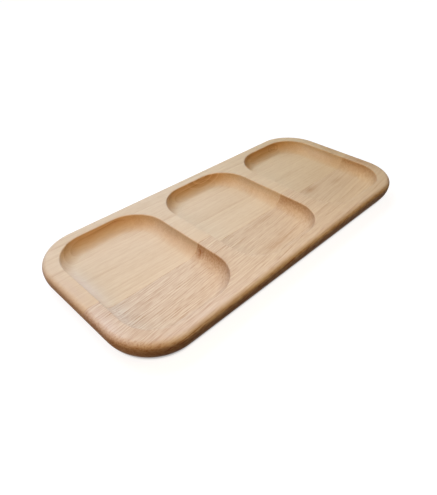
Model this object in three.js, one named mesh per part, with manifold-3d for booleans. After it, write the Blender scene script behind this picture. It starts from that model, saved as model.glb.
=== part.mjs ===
// Divided serving tray: one solid beech board, edge-glued from two staves, with three coved
// compartments routed in a row into its top. The top edge is rounded over, and the lower edge is
// undercut all round, so that fingers reach under the tray to lift it.
// Millimetres, +Z up. The origin is the centre of the underside. +X runs along the tray, with the grain.

import * as THREE from 'three';
import { mergeVertices } from 'three/addons/utils/BufferGeometryUtils.js';
import Module from 'manifold-3d';

// Compartments, measured at their top edges
const compartmentCount = 3;
const compartmentLength = 98.5;
const compartmentWidth = 137.5;
const compartmentDepth = 12;
const compartmentCorner = 32.5;
const rimEasing = 1;

// Board round the compartments
const dividerWidth = 14;
const endRim = 13.25;
const sideRim = 11.25;
const floorThickness = 8;
const boardCorner = 42;

// Edge of the board
const topRoundOver = 5;
const undercutReach = 10.5;

// Edge-glued blank
const nearStaveWidth = 67.75;
const glueThickness = 0.25;

// How finely the curves are divided, in steps for a quarter turn
const boardCornerSteps = 14;
const compartmentCornerSteps = 12;
const undercutSteps = 9;
const roundOverSteps = 6;
const coveSteps = 10;
const easingSteps = 3;

// How far a cutter runs past the face that it cuts through
const cutterOverrun = 4;

// Sizes that follow from the ones above
const compartmentPitch = compartmentLength + dividerWidth;
const boardLength = compartmentCount * compartmentLength + (compartmentCount - 1) * dividerWidth + 2 * endRim;
const boardWidth = compartmentWidth + 2 * sideRim;
const boardHeight = floorThickness + compartmentDepth;
const coveRadius = compartmentDepth - rimEasing;
const widestHeight = boardHeight - topRoundOver;
const glueNearFace = nearStaveWidth - boardWidth / 2;
const glueFarFace = glueNearFace + glueThickness;

const wasm = await Module();
wasm.setup();

const wideStaveBeech = new THREE.MeshStandardMaterial({ color: 0xdcc4a4, roughness: 0.5, metalness: 0 });
const narrowStaveBeech = new THREE.MeshStandardMaterial({ color: 0xd9bea4, roughness: 0.5, metalness: 0 });
const driedGlue = new THREE.MeshStandardMaterial({ color: 0xb08a5c, roughness: 0.4, metalness: 0 });

// Rounded rectangle in plan, with its first corner at +X +Y and its points running anticlockwise.
function planOutline(length, width, corner) {
  const reachX = length / 2 - corner;
  const reachY = width / 2 - corner;
  const quarter = Math.PI / 2;
  const outline = new THREE.Shape();
  outline.absarc(reachX, reachY, corner, 0, quarter);
  outline.absarc(-reachX, reachY, corner, quarter, 2 * quarter);
  outline.absarc(-reachX, -reachY, corner, 2 * quarter, 3 * quarter);
  outline.absarc(reachX, -reachY, corner, 3 * quarter, 4 * quarter);
  return outline;
}

// Quarter of an ellipse in a profile, where x is the inset from the plan outline and y is the height.
function profileArc(inset, height, reachInset, reachHeight, fromTurn, toTurn, steps) {
  const turn = 2 * Math.PI;
  const clockwise = toTurn < fromTurn;
  const arc = new THREE.EllipseCurve(
    inset, height, reachInset, reachHeight, fromTurn * turn, toTurn * turn, clockwise);
  return arc.getPoints(steps);
}

// Closed body that carries a profile of insets and heights, from the bottom up, round a plan outline.
// Every ring keeps the plan's corner centres, so an inset of the sides shrinks the corners alike.
function loft(length, width, corner, profile, cornerSteps) {
  const positions = [];
  const triangles = [];
  let ringSize = 0;
  for (const { x: inset, y: height } of profile) {
    const outline = planOutline(length - 2 * inset, width - 2 * inset, corner - inset);
    const ring = outline.getPoints(cornerSteps / 2);
    ringSize = ring.length;
    for (const point of ring) {
      positions.push(point.x, point.y, height);
    }
  }
  for (let level = 0; level + 1 < profile.length; level += 1) {
    for (let i = 0; i < ringSize; i += 1) {
      const next = (i + 1) % ringSize;
      const lower = level * ringSize;
      const upper = lower + ringSize;
      triangles.push(lower + i, lower + next, upper + next);
      triangles.push(lower + i, upper + next, upper + i);
    }
  }
  const topRing = (profile.length - 1) * ringSize;
  const bottomCentre = positions.length / 3;
  const topCentre = bottomCentre + 1;
  positions.push(0, 0, profile[0].y);
  positions.push(0, 0, profile[profile.length - 1].y);
  for (let i = 0; i < ringSize; i += 1) {
    const next = (i + 1) % ringSize;
    triangles.push(bottomCentre, next, i);
    triangles.push(topCentre, topRing + i, topRing + next);
  }
  const geometry = new THREE.BufferGeometry();
  geometry.setAttribute('position', new THREE.Float32BufferAttribute(positions, 3));
  geometry.setIndex(triangles);
  return geometry;
}

// Solid for joining and cutting, from a closed geometry whose shared points are merged first.
function solidFrom(geometry) {
  geometry.deleteAttribute('normal');
  geometry.deleteAttribute('uv');
  const merged = mergeVertices(geometry);
  const vertProperties = new Float32Array(merged.attributes.position.array);
  const triVerts = new Uint32Array(merged.index.array);
  return new wasm.Manifold(new wasm.Mesh({ numProp: 3, vertProperties, triVerts }));
}

// Named mesh from a finished solid.
function pieceFrom(solid, name, material) {
  const { vertProperties, triVerts } = solid.getMesh();
  const geometry = new THREE.BufferGeometry();
  geometry.setAttribute('position', new THREE.BufferAttribute(vertProperties, 3));
  geometry.setIndex(new THREE.BufferAttribute(triVerts, 1));
  geometry.computeVertexNormals();
  const piece = new THREE.Mesh(geometry, material);
  piece.name = name;
  return piece;
}

// Board with its edge: a flat underside, an undercut that sweeps out to the widest line, and a
// quarter-round from there up to the flat top.
function makeBoard() {
  const undercut = profileArc(
    undercutReach, widestHeight, undercutReach, widestHeight, 0.75, 0.5, undercutSteps);
  const roundOver = profileArc(
    topRoundOver, widestHeight, topRoundOver, topRoundOver, 0.5, 0.25, roundOverSteps);
  const profile = [...undercut, ...roundOver.slice(1)];
  return solidFrom(loft(boardLength, boardWidth, boardCorner, profile, boardCornerSteps));
}

// Cutter for one compartment: a flat floor, a cove that turns up into the wall, and an eased rim.
function makeCompartmentCutter(centreX) {
  const rimHeight = boardHeight - rimEasing;
  const cove = profileArc(
    compartmentDepth, floorThickness + coveRadius, coveRadius, coveRadius, 0.75, 0.5, coveSteps);
  const easing = profileArc(0, rimHeight, rimEasing, rimEasing, 0, 0.25, easingSteps);
  const clear = new THREE.Vector2(0, boardHeight + cutterOverrun);
  const profile = [...cove, ...easing.slice(1), clear];
  const geometry = loft(
    compartmentLength, compartmentWidth, compartmentCorner, profile, compartmentCornerSteps);
  geometry.translate(centreX, 0, 0);
  return solidFrom(geometry);
}

// Slab across the whole board between two planes square to Y.
function makeSlab(nearFace, farFace) {
  const reachX = boardLength / 2 + cutterOverrun;
  const outline = new THREE.Shape();
  outline.moveTo(-reachX, nearFace);
  outline.lineTo(reachX, nearFace);
  outline.lineTo(reachX, farFace);
  outline.lineTo(-reachX, farFace);
  outline.closePath();
  const depth = boardHeight + 2 * cutterOverrun;
  const geometry = new THREE.ExtrudeGeometry(outline, { depth, bevelEnabled: false });
  geometry.translate(0, 0, -cutterOverrun);
  return solidFrom(geometry);
}

// Routed board
let board = makeBoard();
for (let i = 0; i < compartmentCount; i += 1) {
  const centreX = (i - (compartmentCount - 1) / 2) * compartmentPitch;
  board = board.subtract(makeCompartmentCutter(centreX));
}

// The board comes apart at its one glue line, into two staves and the film of glue between them
const reachY = boardWidth / 2 + cutterOverrun;
const nearStave = board.intersect(makeSlab(-reachY, glueNearFace));
const glueLine = board.intersect(makeSlab(glueNearFace, glueFarFace));
const farStave = board.intersect(makeSlab(glueFarFace, reachY));

const tray = new THREE.Group();
tray.add(pieceFrom(farStave, 'far_stave', wideStaveBeech));
tray.add(pieceFrom(nearStave, 'near_stave', narrowStaveBeech));
tray.add(pieceFrom(glueLine, 'glue_line', driedGlue));

export default tray;
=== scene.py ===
import math

import bmesh
import bpy
import numpy as np
from mathutils import Matrix, Vector


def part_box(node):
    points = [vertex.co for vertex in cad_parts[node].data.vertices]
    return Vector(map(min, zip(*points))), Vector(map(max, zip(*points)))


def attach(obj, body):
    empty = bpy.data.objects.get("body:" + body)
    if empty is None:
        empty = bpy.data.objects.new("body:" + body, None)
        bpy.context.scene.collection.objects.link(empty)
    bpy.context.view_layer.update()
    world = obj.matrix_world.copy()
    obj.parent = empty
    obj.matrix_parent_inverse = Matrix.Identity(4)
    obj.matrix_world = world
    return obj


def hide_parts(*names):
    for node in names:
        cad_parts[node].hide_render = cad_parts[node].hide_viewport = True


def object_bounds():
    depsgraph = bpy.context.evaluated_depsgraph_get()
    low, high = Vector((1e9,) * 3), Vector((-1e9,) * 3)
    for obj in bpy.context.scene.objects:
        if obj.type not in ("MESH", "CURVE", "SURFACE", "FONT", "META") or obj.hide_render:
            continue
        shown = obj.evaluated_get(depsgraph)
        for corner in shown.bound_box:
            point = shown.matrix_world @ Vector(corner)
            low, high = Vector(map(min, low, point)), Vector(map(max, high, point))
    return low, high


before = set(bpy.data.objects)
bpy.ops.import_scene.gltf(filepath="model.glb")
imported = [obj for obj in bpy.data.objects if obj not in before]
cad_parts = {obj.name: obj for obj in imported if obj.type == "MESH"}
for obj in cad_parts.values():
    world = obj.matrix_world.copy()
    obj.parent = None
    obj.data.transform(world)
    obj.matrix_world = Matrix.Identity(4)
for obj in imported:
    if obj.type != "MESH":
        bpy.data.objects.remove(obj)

cad_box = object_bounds()

# The wide stave on the far side.
# Solid beech, edge-glued to the narrow stave before the board was routed, so it holds the far part of
# each compartment, of both dividers and of the edge that runs round the tray.

MM = 0.001
compartment_length = 98.5 * MM
compartment_width = 137.5 * MM
compartment_depth = 12 * MM
compartment_corner = 32.5 * MM
compartment_pitch = 112.5 * MM
rim_easing = 1 * MM
board_corner = 42 * MM
top_round_over = 5 * MM
undercut_reach = 10.5 * MM

half_length = cad_box[1].x
half_width = cad_box[1].y
board_height = cad_box[1].z
floor_height = board_height - compartment_depth
widest_height = board_height - top_round_over
cove_radius = compartment_depth - rim_easing
flat_top_y = half_width - top_round_over
quarter_turn = math.pi / 2

# Grid steps along a straight side, round a corner, across the far side and down a profile
SIDE_STEPS = 10
CORNER_STEPS = 40
ACROSS_STEPS = 10
FLOOR_STEPS = 5
COVE_STEPS = 26
EASING_STEPS = 7
LAND_STEPS = 4
ROUND_OVER_STEPS = 14
UNDERCUT_STEPS = 26
BASE_STEPS = 6

# Points this near to a line count as on it, points this near to each other become one, and edges that
# turn by more than the sharp angle stay crisp
ON_LINE = 0.01 * MM
WELD_DISTANCE = 0.0005 * MM
SHARP_ANGLE = math.radians(40)


def cove_profile():
    """Inset from the compartment's top edge and height, from the floor up: a quarter circle that leaves
    the floor level and reaches the wall upright, then a small quarter circle that eases the rim."""
    cove = np.linspace(0, quarter_turn, COVE_STEPS + 1)
    easing = np.linspace(0, quarter_turn, EASING_STEPS + 1)[1:]
    inset = np.concatenate([compartment_depth - cove_radius * np.sin(cove), rim_easing * np.cos(easing)])
    height = np.concatenate([
        floor_height + cove_radius * (1 - np.cos(cove)),
        board_height - rim_easing * (1 - np.sin(easing)),
    ])
    return inset, height


def edge_profile():
    """Inset from the board's outline and height, from the flat top down: a quarter circle out to the
    widest line, then a quarter ellipse that draws in under the board and meets the base level."""
    over = np.linspace(quarter_turn, 0, ROUND_OVER_STEPS + 1)
    under = np.linspace(0, quarter_turn, UNDERCUT_STEPS + 1)[1:]
    inset = np.concatenate([top_round_over * (1 - np.cos(over)), undercut_reach * (1 - np.cos(under))])
    height = np.concatenate([
        widest_height + top_round_over * np.sin(over),
        widest_height * (1 - np.sin(under)),
    ])
    return inset, height


def round_quarter(side, glue_face, centre_x, reach_x, reach_y, radius, mirror):
    """Plan columns straight from the glue face to a corner's start, then round the corner: the corner's
    centre is reach_x and reach_y from the middle, and each point is that centre plus radius times
    (cos, sin)."""
    turn = np.linspace(0, quarter_turn, CORNER_STEPS + 1)
    straight_y = np.linspace(glue_face, side * reach_y, SIDE_STEPS + 1)[:-1]
    x = np.concatenate([np.full(SIDE_STEPS, reach_x + radius), reach_x + radius * np.cos(turn)])
    y = np.concatenate([straight_y, side * (reach_y + radius * np.sin(turn))])
    return np.column_stack([centre_x + mirror * x, y])


def divider_quarter(side, glue_face, centre_x, reach_x, reach_y, mirror):
    """The same columns where a cell ends at a divider: up the divider's middle line to the start of the
    round-over, a square turn there, and back along it."""
    share = np.linspace(0, 2, CORNER_STEPS + 1)
    half_pitch = compartment_pitch / 2
    straight_y = np.linspace(glue_face, side * reach_y, SIDE_STEPS + 1)[:-1]
    corner_x = half_pitch + (reach_x - half_pitch) * np.clip(share - 1, 0, 1)
    corner_y = side * (reach_y + (flat_top_y - reach_y) * np.clip(share, 0, 1))
    x = np.concatenate([np.full(SIDE_STEPS, half_pitch), corner_x])
    return np.column_stack([centre_x + mirror * x, np.concatenate([straight_y, corner_y])])


def half_plan(right, left):
    """The right quarter, a straight run across, and the left quarter turned round, as one row of columns."""
    run = np.linspace(right[-1], left[-1], ACROSS_STEPS + 1)[1:-1]
    return np.concatenate([right, run, left[::-1]])


def at_height(plan, height):
    """A row of plan columns lifted to one height."""
    return np.column_stack([plan, np.full(len(plan), height)])


def spread(start, end, steps):
    """Rows that part the way from one row of points to another into equal steps, without the first."""
    share = np.linspace(0, 1, steps + 1)[1:, None, None]
    return start + (end - start) * share


def stave_grids(side, glue_face):
    """Grids for one stave. Each compartment's cell is rings of columns that grow from a point on the glue
    face: flat floor, cove, eased rim, flat top. One more grid carries the edge profile round the board
    and closes the base."""
    reach_x = compartment_length / 2 - compartment_corner
    reach_y = compartment_width / 2 - compartment_corner
    board_x = half_length - board_corner
    board_y = half_width - board_corner
    flat_corner = board_corner - top_round_over
    grids = []
    edge_path = []
    for cell in (1, 0, -1):
        centre_x = cell * compartment_pitch
        rings = []
        for inset, height in zip(*cove_profile()):
            radius = compartment_corner - inset
            quarters = [
                round_quarter(side, glue_face, centre_x, reach_x, reach_y, radius, mirror)
                for mirror in (1, -1)]
            rings.append(at_height(half_plan(*quarters), height))
        middle = np.broadcast_to([centre_x, glue_face, floor_height], rings[0].shape)
        quarters = []
        for mirror in (1, -1):
            if cell == mirror:
                quarters.append(round_quarter(side, glue_face, 0, board_x, board_y, flat_corner, mirror))
            else:
                quarters.append(divider_quarter(side, glue_face, centre_x, reach_x, reach_y, mirror))
        border = half_plan(*quarters)
        floor = spread(rings[0], middle, FLOOR_STEPS)[::-1]
        land = spread(rings[-1], at_height(border, board_height), LAND_STEPS)
        grids.append(np.concatenate([floor, np.stack(rings), land]))
        outer = (np.abs(border[:, 0]) > board_x - ON_LINE) & (cell != 0)
        outer |= side * border[:, 1] > flat_top_y - ON_LINE
        edge_path.append(border[outer])
    path = np.concatenate(edge_path)
    spine = np.clip(path, [-board_x, -board_y], [board_x, board_y])
    outward = (path - spine) / np.linalg.norm(path - spine, axis=1, keepdims=True)
    edge = np.stack([
        at_height(spine + outward * (board_corner - inset), height)
        for inset, height in zip(*edge_profile())])
    base_middle = np.broadcast_to([0, glue_face, 0], edge[-1].shape)
    grids.append(np.concatenate([edge, spread(edge[-1], base_middle, BASE_STEPS)]))
    return grids


def closed_piece(name, grids, loop=False):
    """A mesh object from grids of points: neighbours in a grid make quads, equal points are welded, the
    flat openings that are left get one face each, and every face is turned outwards."""
    points = []
    quads = []
    count = 0
    for grid in grids:
        rows, columns = grid.shape[:2]
        index = count + np.arange(rows * columns).reshape(rows, columns)
        if loop:
            index = np.column_stack([index, index[:, 0]])
        corners = [index[:-1, :-1], index[:-1, 1:], index[1:, 1:], index[1:, :-1]]
        quads.append(np.stack([corner.ravel() for corner in corners], axis=1))
        points.append(grid.reshape(-1, 3))
        count += rows * columns
    mesh = bpy.data.meshes.new(name)
    mesh.from_pydata(np.concatenate(points), [], np.concatenate(quads).tolist())
    shape = bmesh.new()
    shape.from_mesh(mesh)
    bmesh.ops.remove_doubles(shape, verts=shape.verts, dist=WELD_DISTANCE)
    bmesh.ops.holes_fill(shape, edges=[edge for edge in shape.edges if edge.is_boundary])
    bmesh.ops.recalc_face_normals(shape, faces=shape.faces)
    shape.to_mesh(mesh)
    shape.free()
    mesh.shade_smooth()
    mesh.set_sharp_from_angle(angle=SHARP_ANGLE)
    piece = bpy.data.objects.new(name, mesh)
    bpy.context.scene.collection.objects.link(piece)
    return piece


def linear(code):
    """Linear colour with alpha 1 from an sRGB hex code."""
    srgb = np.array([int(code[i:i + 2], 16) for i in (1, 3, 5)]) / 255
    values = np.where(srgb <= 0.04045, srgb / 12.92, ((srgb + 0.055) / 1.055) ** 2.4)
    return (*values.tolist(), 1.0)


def add(tree, kind, inputs=None, out=0, **settings):
    """Adds a shader node with its settings. An input's value is a plain value or the output that feeds
    it, and the result is one of the node's outputs."""
    made = tree.nodes.new("ShaderNode" + kind)
    for name, value in settings.items():
        setattr(made, name, value)
    for socket, value in (inputs or {}).items():
        if isinstance(value, bpy.types.NodeSocket):
            tree.links.new(value, made.inputs[socket])
        else:
            made.inputs[socket].default_value = value
    return made.outputs[out]


def drawn_out(tree, source, size, levels, detail=0.0):
    """Marks of a length and a width in millimetres: noise stretched by that size, as its share of the way
    between two levels."""
    long, wide = size
    low, high = levels
    sized = add(tree, "Mapping", {"Vector": source, "Scale": (1 / long, 1 / wide, 1 / wide)})
    noise = add(tree, "TexNoise", {"Vector": sized, "Scale": 1.0, "Detail": detail})
    return add(tree, "MapRange", {"Value": noise, "From Min": low, "From Max": high})


def soft_spot(tree, place, centre, size):
    """An ellipsoid in the stave with a centre and half sizes in millimetres. It is 1 in the middle and 0
    at the rim, and grows as the square of the way in."""
    scale = [1 / reach for reach in size]
    offset = [-middle / reach for middle, reach in zip(centre, size)]
    placed = add(tree, "Mapping", {"Vector": place, "Location": offset, "Scale": scale})
    return add(tree, "TexGradient", {"Vector": placed}, out="Fac", gradient_type="QUADRATIC_SPHERE")


def growth_rings(tree, wood, pith, ring_width):
    """Late wood and the tone of each year. The distance from the pith line over the ring's width, with
    slow noise added, counts the years. The whole part picks a year's tone, and the fraction to a power
    is its late wood, less the mean, times a strength that goes with the tone."""
    unevenness = 1.2
    changes = 0.6
    sharpness = 3.0
    weakest = 0.4
    from_pith = (0, -pith[0], -pith[1])
    across = add(tree, "Mapping", {"Vector": wood, "Location": from_pith, "Scale": (0, 1, 1)})
    radius = add(tree, "VectorMath", {0: across}, out="Value", operation="LENGTH")
    years = add(tree, "Math", {0: radius, 1: ring_width}, operation="DIVIDE")
    uneven = add(tree, "TexNoise", {"W": years, "Scale": changes, "Detail": 1.0}, noise_dimensions="1D")
    years = add(tree, "Math", {0: uneven, 1: unevenness, 2: years}, operation="MULTIPLY_ADD")
    year = add(tree, "Math", {0: years}, operation="FLOOR")
    part = add(tree, "Math", {0: years}, operation="FRACT")
    late_wood = add(tree, "Math", {0: part, 1: sharpness}, operation="POWER")
    late_wood = add(tree, "Math", {0: late_wood, 1: 1 / (sharpness + 1)}, operation="SUBTRACT")
    tone = add(tree, "TexWhiteNoise", {"W": year}, noise_dimensions="1D")
    strength = add(tree, "Math", {0: tone, 1: 1 - weakest, 2: weakest}, operation="MULTIPLY_ADD")
    late_wood = add(tree, "Math", {0: late_wood, 1: strength}, operation="MULTIPLY")
    return late_wood, tone


def ring_figure(tree, place, centre, size, rings):
    """Nested ovals, where a wall cuts the rings at a low angle. The way in from the rim of a soft spot,
    times the number of rings, counts them. Each begins with a pale line and goes on browner."""
    line_sharpness = 4.0
    line_tone = -1.5
    body_tone = 0.5
    rim = 0.02
    spot = soft_spot(tree, place, centre, size)
    depth = add(tree, "Math", {0: spot}, operation="SQRT")
    count = add(tree, "Math", {0: depth, 1: rings}, operation="MULTIPLY")
    part = add(tree, "Math", {0: count}, operation="FRACT")
    line = add(tree, "Math", {0: 1.0, 1: part}, operation="SUBTRACT")
    line = add(tree, "Math", {0: line, 1: line_sharpness}, operation="POWER")
    tone = add(tree, "Math", {0: line, 1: line_tone, 2: body_tone}, operation="MULTIPLY_ADD")
    inside = add(tree, "MapRange", {"Value": depth, "From Max": rim})
    return add(tree, "Math", {0: tone, 1: inside}, operation="MULTIPLY")


def ways_cut(tree, place):
    """How the surface cuts the wood, each from 0 to 1. Slope and edge slope grow as the normal leans from
    upright, and end where it points down. End grain is the square of the normal's part along X. Cuts
    against the grain face -X. Outer faces point away from a middle line along the tray."""
    edge_turn = 1.17
    underside_fade = 3.0
    turn_over = 0.2
    with_grain = 0.15
    line_end = 120
    least_outward = 0.5
    normal = add(tree, "TexCoord", out="Normal")
    upward = add(tree, "SeparateXYZ", {0: normal}, out="Z")
    endward = add(tree, "SeparateXYZ", {0: normal}, out="X")
    tilt = add(tree, "Math", {0: 1.0, 1: upward}, operation="SUBTRACT")
    edge_tilt = add(tree, "Math", {0: tilt, 1: edge_turn}, operation="DIVIDE")
    lift = add(tree, "Math", {0: upward, 1: underside_fade, 2: underside_fade}, operation="MULTIPLY_ADD")
    slope = add(tree, "Math", {0: tilt, 1: lift}, operation="MINIMUM", use_clamp=True)
    edge_slope = add(tree, "Math", {0: edge_tilt, 1: lift}, operation="MINIMUM", use_clamp=True)
    end_grain = add(tree, "Math", {0: endward, 1: 2.0}, operation="POWER")
    against = add(tree, "MapRange", {
        "Value": endward, "From Min": -turn_over, "From Max": turn_over, "To Min": 1.0, "To Max": with_grain})
    along = add(tree, "SeparateXYZ", {0: place}, out="X")
    beside = add(tree, "SeparateXYZ", {0: place}, out="Y")
    on_line = add(tree, "Clamp", {"Value": along, "Min": -line_end, "Max": line_end})
    past_line = add(tree, "Math", {0: along, 1: on_line}, operation="SUBTRACT")
    away = add(tree, "CombineXYZ", {"X": past_line, "Y": beside})
    outward = add(tree, "VectorMath", {0: normal, 1: away}, out="Value", operation="DOT_PRODUCT")
    outer = add(tree, "Math", {0: outward, 1: least_outward}, operation="GREATER_THAN")
    return slope, edge_slope, end_grain, against, outer


def beech(name, pale, brown, far_end_shade, far_end_shade_from, side_wall_shade, end_wall_shade, slant, dip, sway, pith, ring_width,
          wall_rings, quieting, streak_size, marks, figures=(), dark_patches=(), sheen_spots=()):
    """Beech as a solid figure in millimetres, which the stave's surface cuts. The grain is turned by slant
    and dip, in degrees, and swayed by slow noise of a length, a width and a reach. The pith has a Y and
    a Z. Rings, streaks, pores and flecks, each times its weight in marks, add up to the share of brown
    over pale. Sloping walls and the outer edge are then multiplied by deeper colours as painted shade,
    and the wood towards +X as the painted fall-off of the light."""
    material = bpy.data.materials.new(name)
    material.use_nodes = True
    tree = material.node_tree
    coords = add(tree, "TexCoord", out="Object")
    place = add(tree, "VectorMath", {0: coords, 1: (1 / MM,) * 3}, operation="MULTIPLY")
    along = add(tree, "SeparateXYZ", {0: place}, out="X")
    tray_end = half_length / MM
    turn = (0, math.radians(dip), -math.radians(slant))
    grain = add(tree, "Mapping", {"Vector": place, "Rotation": turn})
    sway_long, sway_wide, sway_reach = sway
    sway_scale = (1 / sway_long, 1 / sway_wide, 1 / sway_wide)
    slow = add(tree, "Mapping", {"Vector": grain, "Scale": sway_scale})
    swing = add(tree, "TexNoise", {"Vector": slow, "Scale": 1.0, "Detail": 2.0}, out="Color")
    sideways = (0, sway_reach, sway_reach)
    wood = add(tree, "VectorMath", {0: swing, 1: sideways, 2: grain}, operation="MULTIPLY_ADD")

    # Pores and flecks are drawn several times coarser than in real beech, so that they show from here
    late_wood, year_tone = growth_rings(tree, wood, pith, ring_width)
    fading = drawn_out(tree, wood, size=(25, 4), levels=(0.3, 0.6), detail=1.0)
    streaks = drawn_out(tree, wood, size=streak_size, levels=(0.35, 0.65))
    pores = drawn_out(tree, wood, size=(7, 1.2), levels=(0.38, 0.62))
    flecks = drawn_out(tree, wood, size=(14, 0.8), levels=(0.55, 0.70))
    clouds = drawn_out(tree, grain, size=(90, 30), levels=(0.0, 1.0), detail=1.0)
    blotches = drawn_out(tree, grain, size=(5, 3), levels=(0.38, 0.68), detail=1.0)

    # Rings show most on walls along the grain and give way to pits on end grain, and the rings, pores and
    # flecks quieten towards +X
    level_rings = 0.5
    rings_end = 0.25
    lively = 1.1
    slope, edge_slope, end_grain, against, outer = ways_cut(tree, place)
    side_grain = add(tree, "Math", {0: 1.0, 1: end_grain}, operation="SUBTRACT")
    inner = add(tree, "Math", {0: 1.0, 1: outer}, operation="SUBTRACT")
    side_slope = add(tree, "Math", {0: slope, 1: side_grain}, operation="MULTIPLY")
    crossing = add(tree, "Math", {0: side_slope, 1: wall_rings, 2: level_rings}, operation="MULTIPLY_ADD")
    pitted = add(tree, "Math", {0: against, 1: outer}, operation="MAXIMUM")
    pitted = add(tree, "Math", {0: pitted, 1: end_grain}, operation="MULTIPLY")
    ringed = add(tree, "MapRange", {"Value": pitted, "From Max": rings_end, "To Min": 1.0, "To Max": 0.0})
    quiet = add(tree, "MapRange", {
        "Value": along, "From Min": -tray_end, "From Max": tray_end, "To Min": lively, "To Max": quieting})
    layers = {
        "late_wood": (late_wood, crossing, ringed, fading, quiet),
        "year_tone": (year_tone,),
        "streaks": (streaks,),
        "pores": (pores, quiet),
        "flecks": (flecks, quiet),
        "clouds": (clouds,),
        "blotches": (blotches, slope, outer, side_grain),
        "pits": (pores, pitted),
    }
    share = marks["base"]
    for layer, factors in layers.items():
        amount = marks[layer]
        for factor in factors:
            amount = add(tree, "Math", {0: factor, 1: amount}, operation="MULTIPLY")
        share = add(tree, "Math", {0: amount, 1: share}, operation="ADD")
    # Dark patches: mostly marks in the wood along the glue line and in the floors, and one patch of painted
    # shade on a wall that faces -X
    for centre, size, weight in dark_patches:
        spot = soft_spot(tree, place, centre, size)
        share = add(tree, "Math", {0: spot, 1: weight, 2: share}, operation="MULTIPLY_ADD")
    gentle_wall = 0.1
    steep_wall = 0.4
    on_wall = add(tree, "MapRange", {"Value": slope, "From Min": gentle_wall, "From Max": steep_wall})
    for centre, size, rings, weight in figures:
        tone = ring_figure(tree, place, centre, size, rings)
        tone = add(tree, "Math", {0: tone, 1: on_wall}, operation="MULTIPLY")
        share = add(tree, "Math", {0: tone, 1: weight, 2: share}, operation="MULTIPLY_ADD")
    colour = add(tree, "Mix", {0: share, 6: linear(pale), 7: linear(brown)}, out=2, data_type="RGBA")
    # Spots of painted sheen: pale grey mixed in where a low light glances off the satin
    sheen_grey = linear("#ece8e2")
    for centre, size, weight in sheen_spots:
        spot = soft_spot(tree, place, centre, size)
        amount = add(tree, "Math", {0: spot, 1: weight}, operation="MULTIPLY")
        colour = add(tree, "Mix", {0: amount, 6: colour, 7: sheen_grey}, out=2, data_type="RGBA")

    # Painted shade: walls along the grain, walls across it and the outer edge are multiplied by deeper
    # colours the more they slope, and stay darker under any light. The edge does so late along the sides, and
    # earlier but less at the ends.
    edge_shade = "#ae9055"
    side_power = 0.8
    end_power = 0.5
    edge_side_power = 2.6
    edge_end_power = 1.2
    edge_end_share = 0.55
    side_wall_shading = add(tree, "Math", {0: slope, 1: side_power}, operation="POWER")
    end_wall_shading = add(tree, "Math", {0: slope, 1: end_power}, operation="POWER")
    edge_shading_sides = add(tree, "Math", {0: edge_slope, 1: edge_side_power}, operation="POWER")
    edge_shading_ends = add(tree, "Math", {0: edge_slope, 1: edge_end_power}, operation="POWER")
    edge_shading_ends = add(tree, "Math", {0: edge_shading_ends, 1: edge_end_share}, operation="MULTIPLY")
    edge_shading = add(tree, "Mix", {0: end_grain, 2: edge_shading_sides, 3: edge_shading_ends})
    # Painted fall-off of the light: from a start along X to the +X end, the wood is multiplied more and more
    # by a deeper colour
    far_end_shading = add(tree, "MapRange", {"Value": along, "From Min": far_end_shade_from, "From Max": tray_end})
    painted_shades = (
        (side_wall_shade, (side_wall_shading, side_grain, inner)),
        (end_wall_shade, (end_wall_shading, end_grain, against, inner)),
        (edge_shade, (edge_shading, outer)),
        (far_end_shade, (far_end_shading,)),
    )
    for deeper, factors in painted_shades:
        amount = 1.0
        for factor in factors:
            amount = add(tree, "Math", {0: factor, 1: amount}, operation="MULTIPLY")
        colour = add(tree, "Mix", {0: amount, 6: colour, 7: linear(deeper)}, out=2,
                     data_type="RGBA", blend_type="MULTIPLY")

    # Sanded and lightly oiled: satin with hardly a glint, shallow pores, and a faint veil at a low angle
    wood_roughness = 0.46
    pore_roughness = 0.12
    fleck_height = -0.5
    pore_depth = 0.05 * MM
    roughness = add(tree, "Math", {0: pores, 1: pore_roughness, 2: wood_roughness}, operation="MULTIPLY_ADD")
    relief = add(tree, "Math", {0: flecks, 1: fleck_height, 2: pores}, operation="MULTIPLY_ADD")
    bumps = add(tree, "Bump", {"Strength": 0.25, "Distance": pore_depth, "Height": relief})
    shader = tree.nodes["Principled BSDF"]
    tree.links.new(colour, shader.inputs["Base Color"])
    tree.links.new(roughness, shader.inputs["Roughness"])
    tree.links.new(bumps, shader.inputs["Normal"])
    shader.inputs["IOR"].default_value = 1.5
    shader.inputs["Specular IOR Level"].default_value = 0.02
    shader.inputs["Sheen Weight"].default_value = 0.15
    shader.inputs["Sheen Roughness"].default_value = 0.5
    shader.inputs["Sheen Tint"].default_value = linear("#efe6ff")
    return material


far_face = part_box("far_stave")[0].y
far_stave = closed_piece("far_stave_beech", stave_grids(1, far_face))

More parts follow.
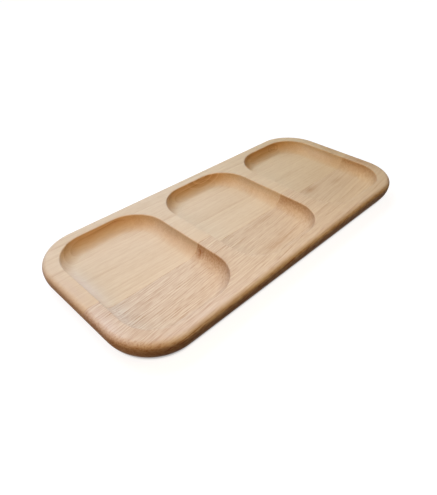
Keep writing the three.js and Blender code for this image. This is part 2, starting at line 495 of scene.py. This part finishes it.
# Yellowish beech with quiet, straight grain, and satin from the sanding. A dark patch, or a pale spot of
# painted sheen, has its centre, half sizes and weight, and a figure has its number of rings before the
# weight.
far_stave.data.materials.append(beech(
    "sanded_beech_wide_stave",
    # The colour after brown is the painted fall-off of the light towards +X, and the two colours on the next
    # line are painted shade on sloping walls
    pale="#eae1c5", brown="#b38f5e", far_end_shade="#f9efd7", far_end_shade_from=-50,
    side_wall_shade="#e6c6a9", end_wall_shade="#ece9e6",
    slant=0, dip=1.5, sway=(110, 40, 5), pith=(140, -80),
    ring_width=3.4, wall_rings=1.8, quieting=0.9, streak_size=(160, 4.0),
    marks={
        "base": 0.06, "late_wood": 0.45, "year_tone": 0.05, "streaks": 0.06, "pores": 0.05,
        "flecks": 0.05, "clouds": 0.2, "blotches": 0.10, "pits": 0.10,
    },
    figures=[
        ((17, 68, 20), (22, 13, 11), 2.5, 0.35),
        ((133, 66.5, 14), (10, 8, 5), 2.5, 0.35),
    ],
    dark_patches=[
        ((28, 64, 14), (38, 12, 12), 0.15),
        ((168, 15, 20), (13, 60, 9), 0.28),
        # Painted shade on the first compartment's wall that faces -X
        ((-67, 22, 14), (14, 45, 12), 0.08),
        ((-168, 12, 20), (10, 60, 10), 0.15),
    ],
    # Pale spots of painted sheen
    sheen_spots=[
        ((-155, 18, 11), (14, 62, 12), 0.55),
        ((-168, 12, 20), (10, 60, 10), 0.2),
        ((160, 20, 13), (12, 50, 10), 0.4),
    ],
))
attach(far_stave, "root")
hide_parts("far_stave")

# The narrow stave on the near side.
# Solid beech from another part of the tree. It is glued to the wide stave along one straight edge, and
# the routing and sanding run on across the joint.

near_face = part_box("near_stave")[1].y
near_stave = closed_piece("near_stave_beech", stave_grids(-1, near_face))

# Pinker beech with the same satin, and strong streaks and flecks that run about 5 degrees off the length
near_stave.data.materials.append(beech(
    "sanded_beech_narrow_stave",
    # The colour after brown is the painted fall-off of the light towards +X, and the two colours on the next
    # line are painted shade on sloping walls
    pale="#ebe7d4", brown="#ab8157", far_end_shade="#f9ebcc", far_end_shade_from=-175,
    side_wall_shade="#e8d8c2", end_wall_shade="#deceba",
    slant=5.5, dip=0, sway=(90, 40, 6), pith=(-150, -70),
    ring_width=2.0, wall_rings=0.4, quieting=0.15, streak_size=(70, 2.5),
    marks={
        "base": 0.11, "late_wood": 1.38, "year_tone": 0.05, "streaks": 0.10, "pores": 0.11,
        "flecks": 0.2, "clouds": 0.15, "blotches": 0.45, "pits": 0.15,
    },
    dark_patches=[
        ((-66, -16, 14), (40, 8, 8), 0.25),
        ((45, -16, 14), (40, 8, 8), 0.3),
        ((94, -17, 8), (22, 11, 9), 0.4),
        ((130, -26, 8), (24, 8, 8), 0.25),
        ((16, -19, 8), (32, 6, 6), 0.2),
        ((-4, -50, 8), (34, 9, 9), 0.2),
        ((167, -32, 20), (14, 36, 9), 0.42),
        ((-67, -17, 13), (9, 6, 9), 0.4),
    ],
    # Pale spots of painted sheen, one of them a painted highlight along the near edge's round-over
    sheen_spots=[
        ((-112, -74, 20), (95, 18, 9), 0.3),
        ((20, -77.5, 19.3), (600, 7, 4), 0.25),
        ((160, -30, 13), (12, 34, 10), 0.3),
        ((-155, -26, 11), (14, 36, 12), 0.32),
        ((-170, -35, 20), (12, 45, 5), 0.4),
    ],
))
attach(near_stave, "root")
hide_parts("near_stave")

# The film of glue between the staves.
# Wood glue, dried to a hard amber film in the one long joint, and all that holds the board together.
# It was cut and sanded with the wood, so its edge follows the floors, the coves and the outer edge.


def section_loop():
    """The tray's outline in the upright plane of the glue line, as x and height: up the edge at +X, down
    into and out of each compartment, and down the edge at -X."""
    edge_inset, edge_height = edge_profile()
    cove_inset, cove_height = cove_profile()
    x = [half_length - edge_inset[::-1]]
    height = [edge_height[::-1]]
    for cell in (1, 0, -1):
        reach = compartment_length / 2 - cove_inset
        x += [cell * compartment_pitch + reach[::-1], cell * compartment_pitch - reach]
        height += [cove_height[::-1], cove_height]
    x.append(edge_inset - half_length)
    height.append(edge_height)
    return np.concatenate(x), np.concatenate(height)


loop_x, loop_height = section_loop()
film_rows = []
for film_face in (near_face, far_face):
    film_rows.append(np.column_stack([loop_x, np.full(len(loop_x), film_face), loop_height]))
glue_line = closed_piece("glue_line_film", [np.stack(film_rows)], loop=True)

# Dried glue gives the eye a hairline, paler and browner by turns as the wood has soaked it up
SOAK_SIZE = (9, 1, 3)
PALE_GLUE = linear("#dcc39c")
BROWN_GLUE = linear("#b8925f")
SOAK_LOW = 0.35
SOAK_HIGH = 0.65
GLUE_ROUGHNESS = 0.4
SOAKED_ROUGHNESS = 0.2
glue_paint = bpy.data.materials.new("dried_wood_glue")
glue_paint.use_nodes = True
tree = glue_paint.node_tree
coords = add(tree, "TexCoord", out="Object")
place = add(tree, "VectorMath", {0: coords, 1: (1 / MM,) * 3}, operation="MULTIPLY")
sized = add(tree, "Mapping", {"Vector": place, "Scale": [1 / size for size in SOAK_SIZE]})
soaked = add(tree, "TexNoise", {"Vector": sized, "Scale": 1.0, "Detail": 2.0})
soaked = add(tree, "MapRange", {"Value": soaked, "From Min": SOAK_LOW, "From Max": SOAK_HIGH})
amber = add(tree, "Mix", {0: soaked, 6: PALE_GLUE, 7: BROWN_GLUE}, out=2, data_type="RGBA")
roughness = add(tree, "Math", {0: soaked, 1: SOAKED_ROUGHNESS, 2: GLUE_ROUGHNESS}, operation="MULTIPLY_ADD")
shader = tree.nodes["Principled BSDF"]
tree.links.new(amber, shader.inputs["Base Color"])
tree.links.new(roughness, shader.inputs["Roughness"])
shader.inputs["IOR"].default_value = 1.47
shader.inputs["Specular IOR Level"].default_value = 0.02
glue_line.data.materials.append(glue_paint)
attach(glue_line, "root")
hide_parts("glue_line")

# The floor and the background.
# A plain white studio floor. The eye and mirrors see it as white, with the tray's soft shadow on it and a
# thin dark line where the tray stands. Light that bounces to the wood finds a dark brown table instead.

# Metres: the floor's reach, and the distances between which its glow grows to full white, because near
# the tray it also catches the light and the shadow
FLOOR_REACH = 3
GLOW_START = 0.25
GLOW_END = 0.7
NEAR_GLOW = 0.9
FAR_GLOW = 1.0
CONTACT_SHADOW = 2.2 * MM
WHITE = linear("#ffffff")
SHADOW_GREY = linear("#898989")
TABLE_BROWN = linear("#594531")


def seen_directly(tree):
    """1 for rays that the eye, a mirror or glass sees the surface by, and 0 for rays that carry light."""
    shown = add(tree, "LightPath", out="Is Camera Ray")
    for ray in ("Is Glossy Ray", "Is Transmission Ray"):
        seen = add(tree, "LightPath", out=ray)
        shown = add(tree, "Math", {0: shown, 1: seen}, operation="MAXIMUM")
    return shown


floor_corners = [(x * FLOOR_REACH, y * FLOOR_REACH, 0) for x, y in ((-1, -1), (1, -1), (1, 1), (-1, 1))]
floor_mesh = bpy.data.meshes.new("studio_floor")
floor_mesh.from_pydata(floor_corners, [], [(0, 1, 2, 3)])
floor = bpy.data.objects.new("studio_floor", floor_mesh)
bpy.context.scene.collection.objects.link(floor)
floor_paint = bpy.data.materials.new("white_floor")
floor_paint.use_nodes = True
tree = floor_paint.node_tree
tree.nodes.remove(tree.nodes["Principled BSDF"])
coords = add(tree, "TexCoord", out="Object")
distance = add(tree, "VectorMath", {0: coords}, out="Value", operation="LENGTH")
strength = add(tree, "MapRange", {
    "Value": distance, "From Min": GLOW_START, "From Max": GLOW_END, "To Min": NEAR_GLOW, "To Max": FAR_GLOW})
open_sky = add(tree, "AmbientOcclusion", {"Distance": CONTACT_SHADOW}, out="AO")
from_below = add(tree, "NewGeometry", out="Backfacing")
open_sky = add(tree, "Math", {0: open_sky, 1: from_below}, operation="MAXIMUM")
strength = add(tree, "Math", {0: strength, 1: open_sky}, operation="MULTIPLY")
glow = add(tree, "Emission", {"Color": WHITE, "Strength": strength})
lit = add(tree, "BsdfDiffuse", {"Color": SHADOW_GREY})
white = add(tree, "AddShader", {0: glow, 1: lit})
table = add(tree, "BsdfDiffuse", {"Color": TABLE_BROWN})
surface = add(tree, "MixShader", {0: seen_directly(tree), 1: table, 2: white})
tree.links.new(surface, tree.nodes["Material Output"].inputs["Surface"])
floor_mesh.materials.append(floor_paint)

# The light.
# Four softboxes: a warm one above the near side, a cool one behind the far side, and two weak ones, at the
# back corner and low at the -X end. The sky is white to the eye and adds hardly any light.

DIM_SKY = linear("#19120d")
world = bpy.data.worlds.new("studio")
bpy.context.scene.world = world
world.use_nodes = True
tree = world.node_tree
sky = add(tree, "Mix", {0: seen_directly(tree), 6: DIM_SKY, 7: WHITE}, out=2, data_type="RGBA")
tree.links.new(sky, tree.nodes["Background"].inputs["Color"])
tree.nodes["Background"].inputs["Strength"].default_value = 1.0

# Each softbox has its place, the point it is aimed at and its width, in metres, and its level of light,
# which is what a white surface at that point shows when it faces the lamp
softboxes = {
    "key": ((-0.06, -0.2, 0.35), (-0.06, 0, 0), 0.3, (0.475, 0.325, 0.172)),
    "window": ((0.7, 0.7, 0.8), (0, 0, 0), 0.6, (0.25, 0.265, 0.32)),
    "back": ((-0.1, 0.35, 0.55), (-0.08, 0, 0), 0.4, (0.455, 0.535, 0.715)),
    "left": ((-0.6, -0.1, 0.28), (-0.05, 0, 0), 0.4, (0.33, 0.182, 0.095)),
}


def aimed(start, aim):
    """The placing of something that stands at the start and looks at the aim."""
    look = Vector(aim) - Vector(start)
    return Matrix.Translation(start) @ look.to_track_quat("-Z", "Y").to_matrix().to_4x4()


for name, (start, aim, width, level) in softboxes.items():
    lamp = bpy.data.lights.new(name, "AREA")
    lamp.size = width
    lamp.energy = math.pi ** 2 * (Vector(aim) - Vector(start)).length_squared
    lamp.color = level
    box = bpy.data.objects.new(name, lamp)
    box.matrix_world = aimed(start, aim)
    bpy.context.scene.collection.objects.link(box)
bpy.context.scene.view_settings.view_transform = "Standard"

# The camera.
# It stands where the photograph was taken from: close to the near corner at -X, looking down along the
# tray, so the lens is fairly wide and the far end looks much smaller.

eye = Vector((-257.86, -227.88, 243.15)) * MM
target = Vector((-56.0, -28.79, 20.0)) * MM
camera_roll = math.radians(0.144)
camera_data = bpy.data.cameras.new("camera")
camera_data.sensor_width = 36
camera_data.lens = 31.481
camera_data.clip_start = 10 * MM
camera = bpy.data.objects.new("camera", camera_data)
camera.matrix_world = aimed(eye, target) @ Matrix.Rotation(camera_roll, 4, "Z")
bpy.context.scene.collection.objects.link(camera)
bpy.context.scene.camera = camera
